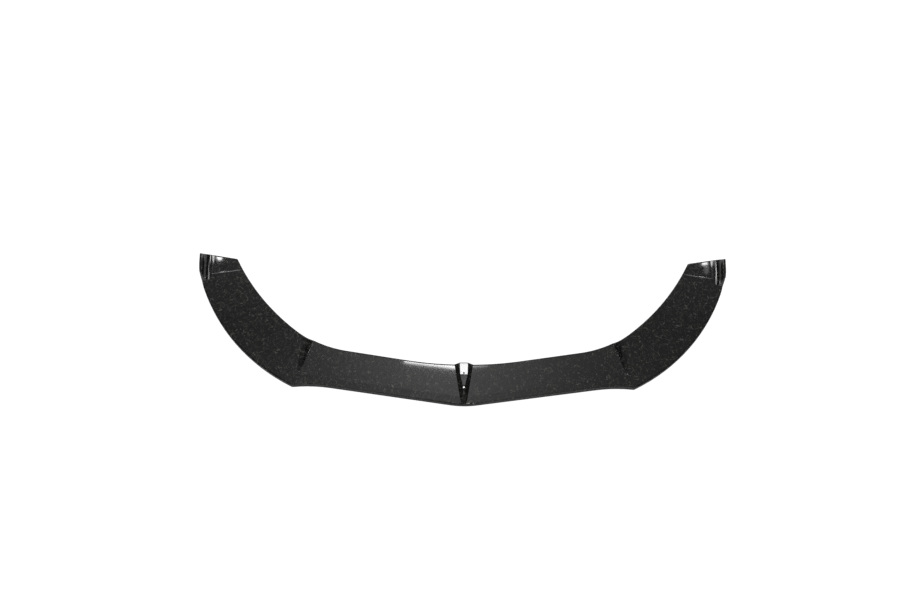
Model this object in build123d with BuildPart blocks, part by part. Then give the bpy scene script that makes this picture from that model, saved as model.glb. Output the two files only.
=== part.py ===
"""Front splitter lip: one thin moulding with a raised centre, a keel and two end fences.

Millimetres. +X to the right seen from the front, +Y to the rear, +Z up.
The rim's foot stands on Z = 0 and the middle of the outline is at X = 0, Y = 0.
"""

import os
from math import asin, atan2, cos, degrees, radians, sin, tan

from build123d import *

# Overall
width = 1768.0  # across the two fences
depth = 526.0  # from the tip to the rounded outer corners of the ends
wall = 3.0  # moulded skin
plate_z = 16.0  # top of the flat wings
edge_radius = 5.0  # rolled edge all round the top

# Front edge
front_sweep = 8.1  # degrees that the front edge falls back from the tip
tip_radius = 300.0
flick_out = 430.0  # where the front edge starts to turn forward again
corner_out = 553.0  # front corner, from the middle
corner_back = 60.5  # front corner, behind the tip
corner_radius = 8.0

# Rear edge of the centre and inner edge of the wings
centre_depth = 135.0  # tip to rear edge on the middle line
rear_sweep = 8.9
rear_radius = 1200.0
rear_straight = 380.0  # end of the straight part, from the middle
bend_out, bend_back = 490.0, 214.5  # the edge swings into the wing from here
hip_beyond, hip_behind = 58.0, 36.0  # from there to where it runs along the wing
end_width = 119.5  # from the inner to the outer corner of the end
end_slant = 17.0  # the inner corner lies this far ahead of the outer one
end_radius = 6.5

# Outer edge of the wings
end_straight = 45.0  # straight part beside the fence
shoulder_in, shoulder_before_end = 16.5, 128.0
flank_in, flank_before_end = 99.0, 273.0

# Raised centre
hinge_back = 28.0  # the centre starts to rise this far behind the front edge
centre_slope = 5.0
ramp_tip_out = 543.0  # front end of the foot of the ramp down to the wing
ramp_rear_out, ramp_rear_back = 527.0, 222.0  # rear end of that foot
ramp_slope = 21.0
ramp_crease = 6.0  # rounded top of the ramp
ramp_foot_radius = 60.0  # hollow foot of the ramp

# Turned-up ends
crease_before_end = 46.0  # at the inner corner of the end
crease_skew = 8.2
end_slope = 10.0
crease_radius = 60.0  # hollow crease in front of the end

# Fences
fence_foot = 43.0  # width from the outer face to the foot of the hollow
fence_radius = 33.0  # hollow inner face, also the height over the end
fence_solid = 15.0  # top part of the fence without a cavity
fence_ramp_before_end = 98.0
fence_ramp_slope = 59.0
fence_rake = 66.0  # lean of the rear edge, in degrees from the level
fence_shoulder = 8.0
fence_rim = 2.0

# Keel
keel_slope = 49.0
keel_base_front = 6.5  # half width of the base at the tip
keel_base_rear = 38.5  # half width of the base at the rear edge
keel_nose_z = 14.7  # top of the keel at the tip
keel_crest_back, keel_crest_z = 56.0, 34.2
keel_pad_back, keel_pad_z = 94.0, 34.4
keel_top_z = 43.0  # rear end of the pad
keel_crest_round, keel_pad_round = 45.0, 30.0
keel_round = 2.5
hole_diameter = 6.0
hole_behind_pad = 7.0  # screw hole behind the front of the pad

half = width / 2
front = -depth / 2
slant = atan2(end_slant, end_width)
back = depth / 2 + end_radius * (tan(slant) + 1 / cos(slant) - 1)  # outer corner before rounding
tall = 3 * plate_z + fence_radius  # over everything
deep = plate_z + edge_radius  # below everything that shows


def rising(start, end, slope):
    """Plane on the level line start to end that rises to the left of it."""
    line = Vector(*end) - Vector(*start)
    left = Vector(-line.Y, line.X, 0).normalized()
    up = Vector(0, 0, cos(radians(slope)))
    return Plane(origin=start, x_dir=line, z_dir=up - left * sin(radians(slope)))


# Outline seen from above
with BuildSketch() as plan:
    with BuildLine() as outline:
        tip = JernArc((0, front), (1, 0), tip_radius, front_sweep)
        nose = tip @ 1
        run = (flick_out - nose.X) / cos(radians(front_sweep))
        lead = PolarLine(nose, run, front_sweep)
        corner = (corner_out, front + corner_back)
        TangentArc(lead @ 1, corner, tangent=lead % 1)
        outer = (half, back)
        side = Line(outer, (half, back - end_straight))
        shoulder = (half - shoulder_in, back - shoulder_before_end)
        upper = TangentArc(side @ 1, shoulder, tangent=side % 1)
        flank = (half - flank_in, back - flank_before_end)
        middle = TangentArc(upper @ 1, flank, tangent=upper % 1)
        TangentArc(middle @ 1, corner, tangent=middle % 1)
        centre = JernArc((0, front + centre_depth), (1, 0), rear_radius, rear_sweep)
        start = centre @ 1
        run = (rear_straight - start.X) / cos(radians(rear_sweep))
        rear = PolarLine(start, run, rear_sweep)
        bend = TangentArc(rear @ 1, (bend_out, front + bend_back), tangent=rear % 1)
        hip_end = bend @ 1 + Vector(hip_beyond, hip_behind)
        hip = TangentArc(bend @ 1, hip_end, tangent=bend % 1)
        inner = (half - end_width, back - end_slant)
        TangentArc(hip @ 1, inner, tangent=hip % 1)
        Line(inner, outer)
        Line((0, front), (0, front + centre_depth))
    make_face()
    mirror(about=Plane.YZ)


# Centre line of the front edge's straight part, from where it would meet the middle
across = Vector(cos(radians(front_sweep)), sin(radians(front_sweep)))
behind = Vector(-across.Y, across.X)
sharp = nose - across * (nose.X / across.X)
level = Vector(0, 0, plate_z)

# Planes of the raised centre
hinge = sharp + behind * hinge_back + level
ramp_tip = hinge + across * ((ramp_tip_out - hinge.X) / across.X)
ramp_rear = Vector(ramp_rear_out, front + ramp_rear_back) + level
rise = rising(hinge, ramp_tip, centre_slope)
lead_start = sharp + behind * 2 * edge_radius
lead_cut = rising(lead_start, lead_start + across, 90)

# Ramp section stands square on the line of its foot
ramp_run = (ramp_rear - ramp_tip).normalized()
ramp_plane = Plane(origin=ramp_tip, x_dir=(ramp_run.Y, -ramp_run.X, 0), z_dir=-ramp_run)

# Planes of the turned-up end
crease = Vector(*inner) - Vector(0, crease_before_end) + level
skew = Vector(cos(radians(crease_skew)), -sin(radians(crease_skew)))
turn = rising(crease, crease + skew, end_slope)
ahead = crease - Vector(0, 4 * edge_radius)
end_cut = rising(ahead, ahead + skew, 90)

# Fence section stands square on the turned-up end
foot = crease + skew * ((end_width - fence_foot) / skew.X)
along = Vector(0, -cos(radians(end_slope)), -sin(radians(end_slope)))
fence_plane = Plane(origin=foot, x_dir=(1, 0, 0), z_dir=along)
fence_lead = Vector(half, back - fence_ramp_before_end) + level
fence_ramp = rising(fence_lead, fence_lead + Vector(1, 0), fence_ramp_slope)
fence_top = Plane(origin=foot, x_dir=(1, 0, 0), z_dir=fence_plane.y_dir)

# Rear edge of the fence leans forward from the rolled edge of the end
end_line = Vector(*inner) - Vector(*outer)
heel = Vector(*outer) + end_line * (fence_foot / end_width)
climb_run = (heel - crease).dot(Vector(-skew.Y, skew.X))
heel = heel + level + Vector(0, 0, climb_run * tan(radians(end_slope)) - edge_radius)
fence_rear = rising(heel, heel + end_line, fence_rake)

# Keel flank and top
keel_front = Vector(keel_base_front, front) + level
keel_rear = Vector(keel_base_rear, front + centre_depth) + level
keel_flank = rising(keel_front, keel_rear, keel_slope)
keel_nose = Vector(front, keel_nose_z)
keel_crest = Vector(front + keel_crest_back, keel_crest_z)
keel_pad = Vector(front + keel_pad_back, keel_pad_z)
keel_top = Vector(front + centre_depth, keel_top_z)
keel_ahead = keel_nose - (keel_crest - keel_nose)
keel_past = keel_top + (keel_top - keel_pad)


def is_wall(face):
    """True for an upright face."""
    return abs(face.normal_at().Z) < 0.01


def is_top(face):
    """True for a face of the top skin, level or gently sloping."""
    return face.normal_at().Z > 0.5


def shared(some, others):
    """Edges where two lists of faces meet, from rear to front."""
    edges = some.edges() & ShapeList(others).edges()
    return edges.sort_by(Axis.X).sort_by(Axis.Y, reverse=True)


def body(inset):
    """Solid below the top skin, with the skin moved inward by inset."""
    with BuildSketch(Plane.XY.offset(-inset)) as area:
        add(plan.sketch)
        if inset:
            offset(amount=-inset)
        for (x, y), radius in ((corner, corner_radius), (inner, end_radius), (outer, end_radius)):
            for point in ((x, y), (-x, y)):
                fillet(area.vertices().sort_by_distance(point)[0], radius - inset)
    with BuildPart() as block:
        add(area.sketch)
        extrude(amount=tall)

    # Right half of the centre, rising to the rear and ramping down to the wing
    with BuildPart() as centre_half:
        with BuildSketch(ramp_plane):
            with BuildLine():
                bow = CenterArc((0, ramp_foot_radius), ramp_foot_radius + inset, -90, -ramp_slope)
                climb = PolarLine(bow @ 1, half, 180 - ramp_slope)
                Polyline(climb @ 1, ((climb @ 1).X, -deep), (0, -deep), bow @ 0)
            make_face()
        extrude(amount=depth, both=True)
        add(block.part, mode=Mode.INTERSECT)
        split(bisect_by=Plane.YZ)
        for plane in (lead_cut, rise):
            split(bisect_by=plane.offset(-inset), keep=Keep.BOTTOM)
        tops = centre_half.faces().filter_by(is_top)
        fillet(shared(tops.filter_by(rise), tops.filter_by(rise, reverse=True)), ramp_crease - inset)

    # Right end, turned up behind its crease
    with BuildPart() as end:
        add(block.part)
        split(bisect_by=Plane.YZ)
        for plane in (end_cut, turn):
            split(bisect_by=plane.offset(-inset), keep=Keep.BOTTOM)

    # Right half of the flat wings with the centre and the end, rolled over all round
    with BuildPart() as tray:
        add(area.sketch)
        extrude(amount=plate_z)
        split(bisect_by=Plane.YZ)
        add(centre_half.part)
        add(end.part)
        tops = tray.faces().filter_by(is_top)
        folds = shared(tops.filter_by(Plane.XY), tops.filter_by(Plane.XY, reverse=True))
        fillet(folds[0], crease_radius + inset)
        faces = tray.faces()
        middle_wall, *walls = faces.filter_by(is_wall).sort_by(Axis.X)
        fillet(shared(faces.filter_by(is_top), walls), edge_radius - inset)
        mirror(about=Plane.YZ)

    # Right fence with its hollow inner face and its front ramp
    hollow_radius = fence_radius + inset
    lid = fence_solid if inset else 0
    with BuildPart() as fence:
        with BuildSketch(fence_plane):
            with BuildLine():
                reach = 90 - degrees(asin(lid / hollow_radius))
                arc = CenterArc((0, fence_radius), hollow_radius, -90, reach)
                Polyline(arc @ 1, (tall, (arc @ 1).Y), (tall, -deep), (0, -deep), arc @ 0)
            make_face()
        extrude(amount=depth, both=True)
        for plane in (fence_ramp, fence_rear):
            split(bisect_by=plane.offset(-inset), keep=Keep.BOTTOM)
        add(block.part, mode=Mode.INTERSECT)
        if not inset:
            faces = fence.faces()
            fillet(shared(faces.filter_by(fence_top), faces.filter_by(fence_ramp)), fence_shoulder)
            faces = fence.faces()
            foot_wall, *sides = faces.filter_by(is_wall).sort_by(Axis.X)
            hollow, *upper = faces.filter_by(lambda f: f.normal_at().Z > 0.1).sort_by(Axis.X)
            rim = shared(ShapeList(upper), [hollow, *sides])
            horn = shared(faces.filter_by(fence_top), faces.filter_by(fence_rear))
            fillet(rim + shared(ShapeList([hollow]), sides) + horn, fence_rim)

    # Keel, cut by its two flanks
    with BuildPart() as keel:
        with BuildSketch(Plane.YZ) as profile:
            with BuildLine():
                Polyline(keel_ahead, keel_crest, keel_pad, keel_past)
                Polyline(keel_past, (keel_past.X, -deep), (keel_ahead.X, -deep), keel_ahead)
            make_face()
            if inset:
                offset(amount=-inset)
            else:
                fillet(profile.vertices().sort_by_distance(keel_pad)[0], keel_pad_round)
                fillet(profile.vertices().sort_by_distance(keel_crest)[0], keel_crest_round)
        extrude(amount=half)
        split(bisect_by=keel_flank.offset(-inset), keep=Keep.BOTTOM)
        add(block.part, mode=Mode.INTERSECT)
        mirror(about=Plane.YZ)
        if not inset:
            faces = keel.faces()
            upper = faces.filter_by(lambda f: f.normal_at().Z > 0.1)
            tops = upper.filter_by(lambda f: abs(f.normal_at().X) < 0.1)
            flanks = upper - tops
            rear = shared(upper, faces.filter_by(is_wall))
            fillet(shared(tops, flanks) + rear, keel_round)

    with BuildPart() as whole:
        add(tray.part)
        add(fence.part)
        add(fence.part.mirror(Plane.YZ))
        add(keel.part)
    return whole.part


shell = body(0)
core = body(wall)
with BuildPart() as splitter_lip:
    add(shell)
    add(core, mode=Mode.SUBTRACT)
    # Screw hole square to the pad
    along_pad = (keel_top - keel_pad).normalized()
    point = keel_pad + along_pad * hole_behind_pad
    seat = Plane(origin=(0, point.X, point.Y), x_dir=(1, 0, 0), z_dir=(0, -along_pad.Y, along_pad.X))
    with BuildSketch(seat):
        Circle(hole_diameter / 2)
    extrude(amount=2 * wall, both=True, mode=Mode.SUBTRACT)

os.makedirs("parts", exist_ok=True)
splitter_lip.part.label = "splitter_lip"
export_step(splitter_lip.part, "parts/splitter_lip.step")
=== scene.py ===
"""Looks of the front splitter lip: chopped carbon under clear lacquer, in a white studio.

Metres, in the frame of the part: +X to the right seen from the front, +Y to the rear, +Z up.
"""

from math import cos, pi, radians, sin

import bpy
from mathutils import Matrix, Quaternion, Vector

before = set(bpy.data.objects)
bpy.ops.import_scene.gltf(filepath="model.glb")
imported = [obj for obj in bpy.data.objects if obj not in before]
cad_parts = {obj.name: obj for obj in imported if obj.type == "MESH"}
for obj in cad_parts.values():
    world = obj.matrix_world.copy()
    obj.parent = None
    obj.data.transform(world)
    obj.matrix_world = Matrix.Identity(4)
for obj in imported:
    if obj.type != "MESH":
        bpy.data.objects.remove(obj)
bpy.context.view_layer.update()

# Camera
view_target = Vector((-0.012, 0.0878, 0.0))
view_elevation = 66.0
view_azimuth = -2.8
view_roll = 3.13
view_distance = 3.424
view_lens = 40.0
view_sensor = 36.0

# Chopped carbon
millimetre = 0.001
chip_layers = 7
chip_length = 9.5  # mm
chip_width = 3.4  # mm
layer_step = (7.3, 3.1, 5.7)  # chips by which each layer is moved on from the one before
chip_waver = 1.6  # mm by which the chips' edges wander
waver_scale = 0.25  # per mm
chip_tilt = 0.4
chip_shades = ((0.0, 0.0003), (0.46, 0.002), (0.78, 0.0105), (0.95, 0.043), (1.0, 0.094))
warm_tint = (1.0, 0.978, 0.9)
fibre_pitch = 0.35  # mm
fibre_stretch = 0.03  # per mm along the fibres
fibre_contrast = 1.2
fibre_least = 0.4
noise_middle = (0.5, 0.5, 0.5)

# Resin and the lacquer over it
resin_roughness = 0.42
resin_specular = 0.07
lacquer_roughness = 0.035
lacquer_index = 1.5
lacquer_lift = 0.5  # added to the upward part of the normal, because a ramp starts at 0
lacquer_stops = ((0.3, 0.0), (0.45, 1.0))

# Room, with ramps by one part of the direction
white = (1.0, 1.0, 1.0, 1.0)
ceiling_light = 0.2
sweep_light = 0.06
sweep_stops = ((0.0, sweep_light), (0.28, sweep_light), (0.5, ceiling_light), (1.0, ceiling_light))
panel_light = 1.25  # soft panel overhead
panel_way = (0.0, 0.22)  # level parts of the direction to its middle
panel_spread = (0.1, 0.1)
rear_light = 0.2  # towards the rear wall
rear_stops = ((0.38, 0.0), (0.45, rear_light))
flag_side_stops = ((0.42, 0.0), (0.58, 1.0))  # dark flags at both sides
flag_height_stops = ((0.3, 0.0), (0.45, 1.0))

# Floor, with ramps by how open the sky is above it: ambient occlusion dims its white glow near and
# under the part, a painted shadow
floor_size = 40.0
floor_glow = 0.88
floor_albedo = 0.45
painted_shadow_reach = 0.12  # how far the part shades the floor's glow
painted_shadow_samples = 8
straight_stops = ((0.2, 0.0), (0.45, floor_glow))
mirrored_stops = ((0.75, 0.0), (1.0, floor_glow))

# Soft boxes that look straight down: name, place, size, radiance, turn in degrees, shape
low_level = 1.1
middle_level = 2.2
high_level = 4.9
down_boxes = (
    ("pad_box", (0.055, -0.4175, middle_level), (0.14, 0.365), 24.0, 0.0, "RECTANGLE"),
    ("crest_box", (0.056, 0.565, middle_level), (0.05, 0.07), 0.9, 0.0, "RECTANGLE"),
    ("rear_box", (-0.21, 0.952, high_level), (0.5, 0.33), 26.0, -7.2, "RECTANGLE"),
    ("small_box", (0.308, 0.897, high_level), (0.22, 0.22), 9.0, 6.0, "RECTANGLE"),
    ("left_strip", (-0.85, 0.5, middle_level), (0.4, 0.09), 12.0, 0.0, "RECTANGLE"),
    ("right_strip", (0.92, 0.5, middle_level), (0.4, 0.09), 14.0, 0.0, "RECTANGLE"),
    ("right_edge", (1.28, 0.512, middle_level), (0.03, 0.05), 26.0, 0.0, "RECTANGLE"),
    ("right_glow", (1.289, 0.464, middle_level), (0.024, 0.044), 2.0, 0.0, "RECTANGLE"),
    ("left_crease", (-1.194, 0.649, middle_level), (0.17, 0.07), 5.0, 8.1, "RECTANGLE"),
    ("right_crease", (1.295, 0.648, middle_level), (0.17, 0.07), 4.0, -8.1, "RECTANGLE"),
    ("low_left", (-0.17, 0.445, low_level), (0.2, 0.09), 14.0, 0.0, "RECTANGLE"),
    ("low_right", (0.25, 0.435, low_level), (0.2, 0.09), 4.0, 0.0, "RECTANGLE"),
    ("left_edge", (-1.186, 0.513, middle_level), (0.034, 0.056), 24.0, 0.0, "ELLIPSE"),
)

# Soft boxes in pairs, given for the right side: name, place, target, size, radiance right and left
paired_boxes = (
    ("low_side", (2.0, 1.0, 0.45), (-0.86, 0.23, 0.03), (0.9, 0.5), (1.0, 0.5)),
    ("fill_box", (1.5, -2.4, 1.9), (0.0, -0.1, 0.0), (2.0, 1.2), (1.8, 1.8)),
    ("side_box", (1.6, 0.66, 0.6), (0.88, 0.22, 0.05), (0.2, 0.25), (14.0, 14.0)),
)


class Nodes:
    """Adds nodes to one node tree."""

    def __init__(self, tree):
        self.tree = tree
        tree.nodes.clear()

    def add(self, kind, inputs=(), **settings):
        """A node of that kind, with its settings and with values or sockets on its inputs."""
        made = self.tree.nodes.new(kind)
        for name, value in settings.items():
            setattr(made, name, value)
        for key, value in dict(inputs).items():
            if isinstance(value, bpy.types.NodeSocket):
                self.tree.links.new(value, made.inputs[key])
            else:
                made.inputs[key].default_value = value
        return made

    def math(self, operation, *values):
        return self.add("ShaderNodeMath", enumerate(values), operation=operation).outputs[0]

    def vector(self, operation, *values):
        return self.add("ShaderNodeVectorMath", enumerate(values), operation=operation).outputs[0]

    def scaled(self, vector, factor):
        made = self.add("ShaderNodeVectorMath", {0: vector, "Scale": factor}, operation="SCALE")
        return made.outputs[0]

    def blend(self, test, no, yes):
        """One of two numbers, by a test of 0 or 1."""
        made = self.add("ShaderNodeMix", {0: test, 2: no, 3: yes}, data_type="FLOAT")
        return made.outputs[0]

    def pick(self, test, no, yes):
        """One of two vectors, by a test of 0 or 1."""
        made = self.add("ShaderNodeMix", {0: test, 4: no, 5: yes}, data_type="VECTOR")
        return made.outputs[1]

    def turned(self, vector, angle):
        """The vector turned about Z."""
        inputs = {"Vector": vector, "Angle": angle}
        made = self.add("ShaderNodeVectorRotate", inputs, rotation_type="Z_AXIS")
        return made.outputs[0]

    def noise(self, vector, scale, detail=2.0):
        return self.add("ShaderNodeTexNoise", {"Vector": vector, "Scale": scale, "Detail": detail})

    def draw(self, vector):
        """Random value and colour for a vector."""
        return self.add("ShaderNodeTexWhiteNoise", {"Vector": vector}, noise_dimensions="3D")

    def ramp(self, factor, stops):
        """A ramp through (place, grey) stops."""
        made = self.add("ShaderNodeValToRGB", {"Fac": factor})
        elements = made.color_ramp.elements
        while len(elements) < len(stops):
            elements.new(1.0)
        for element, (place, grey) in zip(elements, stops):
            element.position = place
            element.color = (grey, grey, grey, 1.0)
        return made.outputs["Color"]

    def seen_ray(self):
        """1 for rays that show the background itself, straight or in a gloss or glass."""
        path = self.add("ShaderNodeLightPath").outputs
        shown = self.math("MAXIMUM", path["Is Camera Ray"], path["Is Glossy Ray"])
        return self.math("MAXIMUM", shown, path["Is Transmission Ray"])


def chip_cells(nodes, place):
    """Random vector of the topmost chip and the angle of its fibres, at a place in mm."""
    squeeze = (1 / chip_length, 1 / chip_width, 1 / chip_width)
    best = None
    for layer in range(chip_layers):
        angle = pi * layer / chip_layers
        turned = nodes.turned(place, angle)
        shift = tuple(step * layer for step in layer_step)
        spread = nodes.vector("MULTIPLY_ADD", turned, squeeze, shift)
        inputs = {"Vector": spread, "Scale": 1.0}
        cell = nodes.add("ShaderNodeTexVoronoi", inputs, distance="CHEBYCHEV")
        draw = nodes.draw(cell.outputs["Position"])
        height = draw.outputs["Value"]
        marks = nodes.add("ShaderNodeCombineXYZ", {0: height, 1: angle, 2: 0.0}).outputs[0]
        if best is None:
            best = (height, draw.outputs["Color"], marks)
            continue
        over = nodes.math("GREATER_THAN", height, best[0])
        colour = nodes.pick(over, best[1], draw.outputs["Color"])
        marks = nodes.pick(over, best[2], marks)
        best = (nodes.math("MAXIMUM", height, best[0]), colour, marks)
    angle = nodes.add("ShaderNodeSeparateXYZ", {0: best[2]}).outputs[1]
    return best[1], angle


def carbon():
    """Chopped carbon fibre in resin, lacquered on top and raw below."""
    material = bpy.data.materials.new("chopped_carbon")
    material.use_nodes = True
    nodes = Nodes(material.node_tree)
    where = nodes.add("ShaderNodeTexCoord").outputs["Object"]
    place = nodes.scaled(where, 1 / millimetre)
    waver = nodes.noise(place, waver_scale).outputs["Color"]
    shift = nodes.scaled(nodes.vector("SUBTRACT", waver, noise_middle), 2 * chip_waver)
    place = nodes.vector("ADD", place, shift)
    draw, angle = chip_cells(nodes, place)

    # Shade of the chip, with its fibres
    again = nodes.draw(draw)
    shade = nodes.ramp(again.outputs["Value"], chip_shades)
    along = nodes.turned(place, angle)
    strands = nodes.vector("MULTIPLY", along, (fibre_stretch, 1 / fibre_pitch, 1 / fibre_pitch))
    fibre = nodes.noise(strands, 1.0).outputs[0]
    grain = nodes.math("MULTIPLY_ADD", fibre, fibre_contrast, fibre_least)
    grey = nodes.scaled(shade, grain)
    colour = nodes.vector("MULTIPLY", grey, warm_tint)

    # Each chip lies a little askew under the lacquer
    geometry = nodes.add("ShaderNodeNewGeometry")
    normal = geometry.outputs["Normal"]
    lean = nodes.vector("SUBTRACT", again.outputs["Color"], noise_middle)
    askew = nodes.scaled(lean, chip_tilt)
    tilted = nodes.vector("NORMALIZE", nodes.vector("ADD", normal, askew))

    # The moulding's underside has no lacquer
    up = nodes.add("ShaderNodeSeparateXYZ", {0: geometry.outputs["True Normal"]}).outputs[2]
    lacquer = nodes.ramp(nodes.math("ADD", up, lacquer_lift), lacquer_stops)

    shader = nodes.add(
        "ShaderNodeBsdfPrincipled",
        {
            "Base Color": colour,
            "Roughness": resin_roughness,
            "Normal": tilted,
            "Specular IOR Level": resin_specular,
            "Coat Weight": lacquer,
            "Coat Roughness": lacquer_roughness,
            "Coat IOR": lacquer_index,
        },
    )
    nodes.add("ShaderNodeOutputMaterial", {"Surface": shader.outputs[0]})
    return material


def dress_part():
    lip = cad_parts["splitter_lip"]
    lip.material_slots[0].material = carbon()


def white_floor():
    """Pale matt floor that glows white where the background shows, with a painted shadow: ambient
    occlusion dims the glow near and under the part.
    """
    material = bpy.data.materials.new("white_floor")
    material.use_nodes = True
    nodes = Nodes(material.node_tree)
    # Painted shadow: ambient occlusion dims the floor's glow near and under the part, seen straight
    # and in reflections.
    reach = {"Distance": painted_shadow_reach}
    painted_shadow_ao = nodes.add("ShaderNodeAmbientOcclusion", reach, samples=painted_shadow_samples)
    open_sky = painted_shadow_ao.outputs["AO"]
    straight = nodes.ramp(open_sky, straight_stops)
    mirrored = nodes.ramp(open_sky, mirrored_stops)
    camera = nodes.add("ShaderNodeLightPath").outputs["Is Camera Ray"]
    shown = nodes.blend(camera, mirrored, straight)
    pale = (floor_albedo, floor_albedo, floor_albedo, 1.0)
    matt = nodes.add("ShaderNodeBsdfDiffuse", {"Color": pale})
    strength = nodes.math("MULTIPLY", nodes.seen_ray(), shown)
    glow = nodes.add("ShaderNodeEmission", {"Strength": strength})
    both = nodes.add("ShaderNodeAddShader", {0: matt.outputs[0], 1: glow.outputs[0]})
    nodes.add("ShaderNodeOutputMaterial", {"Surface": both.outputs[0]})
    return material


def make_floor():
    half = floor_size / 2
    corners = [(-half, -half, 0), (half, -half, 0), (half, half, 0), (-half, half, 0)]
    mesh = bpy.data.meshes.new("floor")
    mesh.from_pydata(corners, [], [(0, 1, 2, 3)])
    floor = bpy.data.objects.new("floor", mesh)
    bpy.context.scene.collection.objects.link(floor)
    mesh.materials.append(white_floor())


def make_world():
    """Dim room with a soft panel overhead and dark flags high at the sides, white for the camera."""
    world = bpy.data.worlds.new("studio")
    world.use_nodes = True
    bpy.context.scene.world = world
    nodes = Nodes(world.node_tree)
    direction = nodes.add("ShaderNodeTexCoord").outputs["Generated"]
    across, rearward, upward = nodes.add("ShaderNodeSeparateXYZ", {0: direction}).outputs

    # The panel fades out as a bell does, and only above the floor
    squares = []
    for part, middle, spread in zip((across, rearward), panel_way, panel_spread):
        away = nodes.math("DIVIDE", nodes.math("SUBTRACT", part, middle), spread)
        squares.append(nodes.math("MULTIPLY", away, away))
    bell = nodes.math("EXPONENT", nodes.math("MULTIPLY", nodes.math("ADD", *squares), -0.5))
    above = nodes.math("MULTIPLY", bell, nodes.math("GREATER_THAN", upward, 0.0))

    sweep = nodes.ramp(upward, sweep_stops)
    rear = nodes.ramp(rearward, rear_stops)
    wide = nodes.ramp(nodes.math("ABSOLUTE", across), flag_side_stops)
    high = nodes.ramp(upward, flag_height_stops)
    unflagged = nodes.math("SUBTRACT", 1.0, nodes.math("MULTIPLY", wide, high))
    walls = nodes.math("MULTIPLY", nodes.math("ADD", sweep, rear), unflagged)
    room = nodes.math("MULTIPLY_ADD", above, panel_light, walls)

    camera = nodes.add("ShaderNodeLightPath").outputs["Is Camera Ray"]
    shown = nodes.blend(camera, room, 1.0)
    back = nodes.add("ShaderNodeBackground", {"Color": white, "Strength": shown})
    nodes.add("ShaderNodeOutputWorld", {"Surface": back.outputs[0]})


def add_lamp(name, place, target, size, radiance, turn=0.0, shape="RECTANGLE"):
    """A soft box that looks at target, turned about its view.

    In a mirror a rectangle is as bright as radiance says, and an ellipse a little brighter.
    """
    lamp = bpy.data.lights.new(name, "AREA")
    lamp.shape = shape
    lamp.size, lamp.size_y = size
    lamp.energy = radiance * pi * size[0] * size[1]
    box = bpy.data.objects.new(name, lamp)
    box.location = place
    box.rotation_mode = "QUATERNION"
    aimed = (Vector(place) - Vector(target)).to_track_quat("Z", "Y")
    box.rotation_quaternion = aimed @ Quaternion((0, 0, 1), radians(turn))
    box.visible_camera = False
    bpy.context.scene.collection.objects.link(box)


def on_side(place, side):
    """A place given for the right side, on the side that is 1 for right and -1 for left."""
    return (place[0] * side, place[1], place[2])


def make_lamps():
    for name, place, size, radiance, turn, shape in down_boxes:
        add_lamp(name, place, (place[0], place[1], 0.0), size, radiance, turn, shape)
    for index, side in enumerate((1, -1)):
        for name, place, target, size, radiances in paired_boxes:
            add_lamp(name, on_side(place, side), on_side(target, side), size, radiances[index])


def make_camera():
    camera = bpy.data.cameras.new("camera")
    camera.lens = view_lens
    camera.sensor_width = view_sensor
    eye = bpy.data.objects.new("camera", camera)
    rise = radians(view_elevation)
    swing = radians(view_azimuth)
    back = Vector((cos(rise) * sin(swing), -cos(rise) * cos(swing), sin(rise)))
    eye.location = view_target + back * view_distance
    eye.rotation_mode = "QUATERNION"
    level = (-back).to_track_quat("-Z", "Y")
    eye.rotation_quaternion = level @ Quaternion((0, 0, 1), radians(view_roll))
    bpy.context.scene.collection.objects.link(eye)
    bpy.context.scene.camera = eye


dress_part()
make_floor()
make_world()
make_lamps()
make_camera()
bpy.context.scene.view_settings.view_transform = "Standard"
